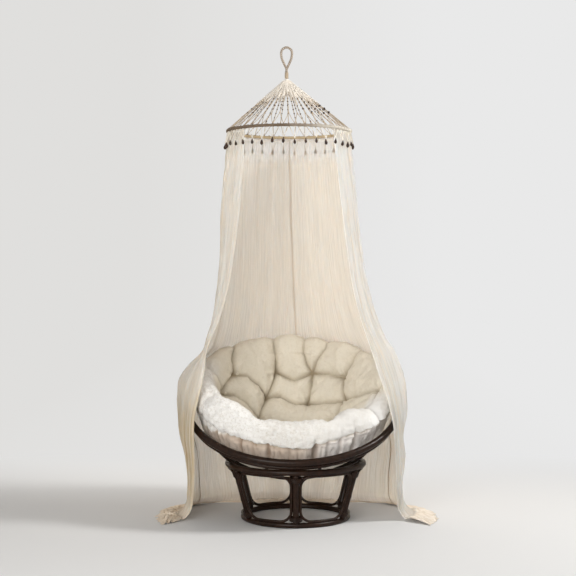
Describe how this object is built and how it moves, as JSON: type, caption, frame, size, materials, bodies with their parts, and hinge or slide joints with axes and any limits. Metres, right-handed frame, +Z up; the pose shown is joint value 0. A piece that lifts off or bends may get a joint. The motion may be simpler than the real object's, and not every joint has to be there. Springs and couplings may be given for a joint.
{
  "type": "macrame bed canopy and papasan chair",
  "caption": "Macrame canopy: hanging loop, cone of knotted cords, wrapped hoop, fringe of wooden drops and a sheer gauze curtain open at the front, falling round a papasan chair.",
  "frame": {"origin": "the place where the ceiling hook bears, at the inside top of the hanging loop", "axes": "+Z up, -Y out of the open front of the curtain, +X to the right of someone who faces the open front"},
  "size_m": [1.3796, 1.0486, 2.3206],
  "materials": {
    "cotton_cord": "matt twisted cotton cord",
    "wrapped_cord": "matt cord, closely wound",
    "gauze": "sheer crinkled cotton gauze",
    "dark_wood": "dark stained and oiled",
    "cushion_cloth": "matt woven cotton, tufted",
    "rattan": "dark glossy lacquered rattan pole"
  },
  "bodies": {
    "root": {"hanging_loop": "cotton_cord", "crown_whipping": "wrapped_cord", "cone_net": "cotton_cord", "hoop": "wrapped_cord", "fringe_net": "cotton_cord", "curtain_left_front": "gauze", "curtain_left_back": "gauze", "curtain_right_back": "gauze", "curtain_right_front": "gauze", "seat_cushion": "cushion_cloth", "bowl_rim": "rattan", "bowl_frame": "rattan", "base_top_ring": "rattan", "base_bottom_ring": "rattan", "base_post_1": "rattan", "base_post_2": "rattan", "base_post_3": "rattan", "base_post_4": "rattan", "base_post_5": "rattan", "base_post_6": "rattan", "drop_01": "dark_wood", "drop_02": "dark_wood", "drop_03": "dark_wood", "drop_04": "dark_wood", "drop_05": "dark_wood", "drop_06": "dark_wood", "drop_07": "dark_wood", "drop_08": "dark_wood", "drop_09": "dark_wood", "drop_10": "dark_wood", "drop_11": "dark_wood", "drop_12": "dark_wood", "drop_13": "dark_wood", "drop_14": "dark_wood", "drop_15": "dark_wood", "drop_16": "dark_wood", "drop_17": "dark_wood", "drop_18": "dark_wood", "drop_19": "dark_wood", "drop_20": "dark_wood", "drop_21": "dark_wood", "drop_22": "dark_wood", "drop_23": "dark_wood", "drop_24": "dark_wood", "drop_25": "dark_wood", "drop_26": "dark_wood", "drop_27": "dark_wood", "drop_28": "dark_wood", "drop_29": "dark_wood", "drop_30": "dark_wood", "drop_31": "dark_wood", "drop_32": "dark_wood", "drop_33": "dark_wood", "drop_34": "dark_wood", "drop_35": "dark_wood", "drop_36": "dark_wood"}
  },
  "joints": []
}
